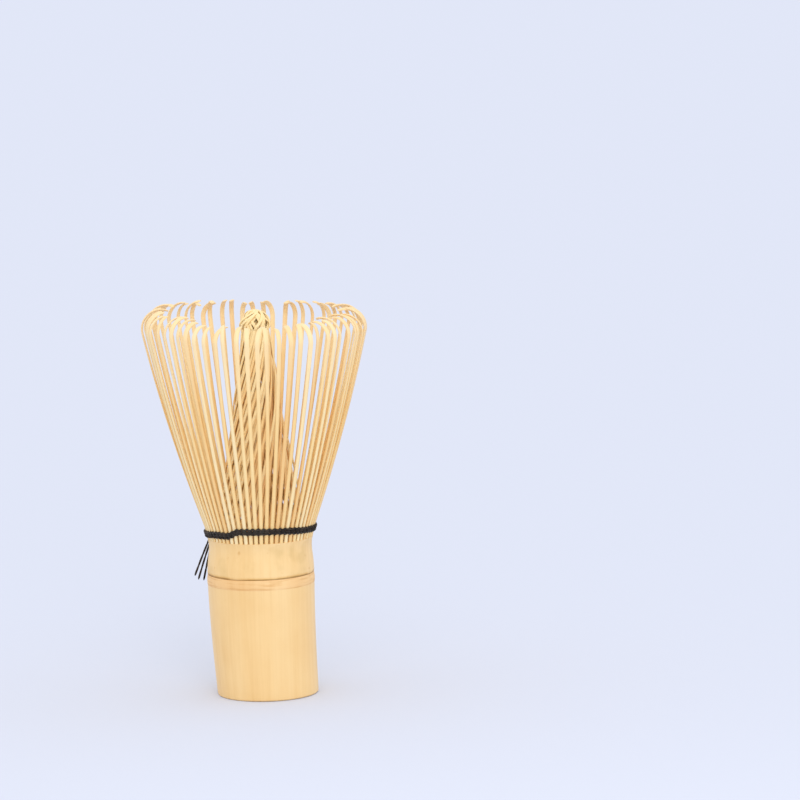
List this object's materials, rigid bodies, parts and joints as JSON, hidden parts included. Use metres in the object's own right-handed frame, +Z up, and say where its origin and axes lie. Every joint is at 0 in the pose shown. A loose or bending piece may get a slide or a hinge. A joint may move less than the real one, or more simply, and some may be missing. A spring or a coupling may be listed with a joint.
{
  "type": "bamboo tea whisk",
  "caption": "Bamboo tea whisk: hollow grip, node, collar slit into an outer ring of springy hooked tines round a gathered inner bundle, bound by a woven black thread.",
  "frame": {"origin": "middle of the grip's cut end, on the surface it stands on", "axes": "+Z up the axis of the culm to the tips of the tines; the knot of the thread lies towards -X"},
  "size_m": [0.0646, 0.0646, 0.1136],
  "materials": {
    "bamboo_skin": "satin",
    "bamboo_node": "satin",
    "bamboo_pith": "matte",
    "black_thread": "matte"
  },
  "bodies": {
    "root": {"grip": "bamboo_skin", "node_ridge": "bamboo_node", "diaphragm": "bamboo_pith", "collar": "bamboo_skin", "inner_tines_01": "bamboo_pith", "inner_tines_02": "bamboo_pith", "inner_tines_03": "bamboo_pith", "inner_tines_04": "bamboo_pith", "inner_tines_05": "bamboo_pith", "inner_tines_06": "bamboo_pith", "inner_tines_07": "bamboo_pith", "inner_tines_08": "bamboo_pith", "inner_tines_09": "bamboo_pith", "inner_tines_10": "bamboo_pith", "inner_tines_11": "bamboo_pith", "inner_tines_12": "bamboo_pith", "inner_tines_13": "bamboo_pith", "inner_tines_14": "bamboo_pith", "inner_tines_15": "bamboo_pith", "inner_tines_16": "bamboo_pith", "thread_turn_lower": "black_thread", "thread_turn_upper": "black_thread", "thread_turn_inside": "black_thread", "thread_knot": "black_thread", "thread_tail_1": "black_thread", "thread_tail_2": "black_thread", "thread_tail_3": "black_thread", "thread_tail_4": "black_thread"},
    "stave_01": {"outer_tines_01": "bamboo_skin"},
    "stave_02": {"outer_tines_02": "bamboo_skin"},
    "stave_03": {"outer_tines_03": "bamboo_skin"},
    "stave_04": {"outer_tines_04": "bamboo_skin"},
    "stave_05": {"outer_tines_05": "bamboo_skin"},
    "stave_06": {"outer_tines_06": "bamboo_skin"},
    "stave_07": {"outer_tines_07": "bamboo_skin"},
    "stave_08": {"outer_tines_08": "bamboo_skin"},
    "stave_09": {"outer_tines_09": "bamboo_skin"},
    "stave_10": {"outer_tines_10": "bamboo_skin"},
    "stave_11": {"outer_tines_11": "bamboo_skin"},
    "stave_12": {"outer_tines_12": "bamboo_skin"},
    "stave_13": {"outer_tines_13": "bamboo_skin"},
    "stave_14": {"outer_tines_14": "bamboo_skin"},
    "stave_15": {"outer_tines_15": "bamboo_skin"},
    "stave_16": {"outer_tines_16": "bamboo_skin"}
  },
  "joints": [
    {"name": "flex_01", "type": "hinge", "parent": "root", "child": "stave_01", "pos_m": [0.01653, 0, 0.05179], "axis": [0, 1, 0], "range_deg": [-3, 8], "stiffness_Nm_per_rad": 0.03},
    {"name": "flex_02", "type": "hinge", "parent": "root", "child": "stave_02", "pos_m": [0.01527, 0.00632, 0.05179], "axis": [-0.3827, 0.9239, 0], "range_deg": [-3, 8], "stiffness_Nm_per_rad": 0.03},
    {"name": "flex_03", "type": "hinge", "parent": "root", "child": "stave_03", "pos_m": [0.01169, 0.01169, 0.05179], "axis": [-0.7071, 0.7071, 0], "range_deg": [-3, 8], "stiffness_Nm_per_rad": 0.03},
    {"name": "flex_04", "type": "hinge", "parent": "root", "child": "stave_04", "pos_m": [0.00632, 0.01527, 0.05179], "axis": [-0.9239, 0.3827, 0], "range_deg": [-3, 8], "stiffness_Nm_per_rad": 0.03},
    {"name": "flex_05", "type": "hinge", "parent": "root", "child": "stave_05", "pos_m": [0, 0.01653, 0.05179], "axis": [-1, 0, 0], "range_deg": [-3, 8], "stiffness_Nm_per_rad": 0.03},
    {"name": "flex_06", "type": "hinge", "parent": "root", "child": "stave_06", "pos_m": [-0.00632, 0.01527, 0.05179], "axis": [-0.9239, -0.3827, 0], "range_deg": [-3, 8], "stiffness_Nm_per_rad": 0.03},
    {"name": "flex_07", "type": "hinge", "parent": "root", "child": "stave_07", "pos_m": [-0.01169, 0.01169, 0.05179], "axis": [-0.7071, -0.7071, 0], "range_deg": [-3, 8], "stiffness_Nm_per_rad": 0.03},
    {"name": "flex_08", "type": "hinge", "parent": "root", "child": "stave_08", "pos_m": [-0.01527, 0.00632, 0.05179], "axis": [-0.3827, -0.9239, 0], "range_deg": [-3, 8], "stiffness_Nm_per_rad": 0.03},
    {"name": "flex_09", "type": "hinge", "parent": "root", "child": "stave_09", "pos_m": [-0.01653, 0, 0.05179], "axis": [0, -1, 0], "range_deg": [-3, 8], "stiffness_Nm_per_rad": 0.03},
    {"name": "flex_10", "type": "hinge", "parent": "root", "child": "stave_10", "pos_m": [-0.01527, -0.00632, 0.05179], "axis": [0.3827, -0.9239, 0], "range_deg": [-3, 8], "stiffness_Nm_per_rad": 0.03},
    {"name": "flex_11", "type": "hinge", "parent": "root", "child": "stave_11", "pos_m": [-0.01169, -0.01169, 0.05179], "axis": [0.7071, -0.7071, 0], "range_deg": [-3, 8], "stiffness_Nm_per_rad": 0.03},
    {"name": "flex_12", "type": "hinge", "parent": "root", "child": "stave_12", "pos_m": [-0.00632, -0.01527, 0.05179], "axis": [0.9239, -0.3827, 0], "range_deg": [-3, 8], "stiffness_Nm_per_rad": 0.03},
    {"name": "flex_13", "type": "hinge", "parent": "root", "child": "stave_13", "pos_m": [0, -0.01653, 0.05179], "axis": [1, 0, 0], "range_deg": [-3, 8], "stiffness_Nm_per_rad": 0.03},
    {"name": "flex_14", "type": "hinge", "parent": "root", "child": "stave_14", "pos_m": [0.00632, -0.01527, 0.05179], "axis": [0.9239, 0.3827, 0], "range_deg": [-3, 8], "stiffness_Nm_per_rad": 0.03},
    {"name": "flex_15", "type": "hinge", "parent": "root", "child": "stave_15", "pos_m": [0.01169, -0.01169, 0.05179], "axis": [0.7071, 0.7071, 0], "range_deg": [-3, 8], "stiffness_Nm_per_rad": 0.03},
    {"name": "flex_16", "type": "hinge", "parent": "root", "child": "stave_16", "pos_m": [0.01527, -0.00632, 0.05179], "axis": [0.3827, 0.9239, 0], "range_deg": [-3, 8], "stiffness_Nm_per_rad": 0.03}
  ]
}
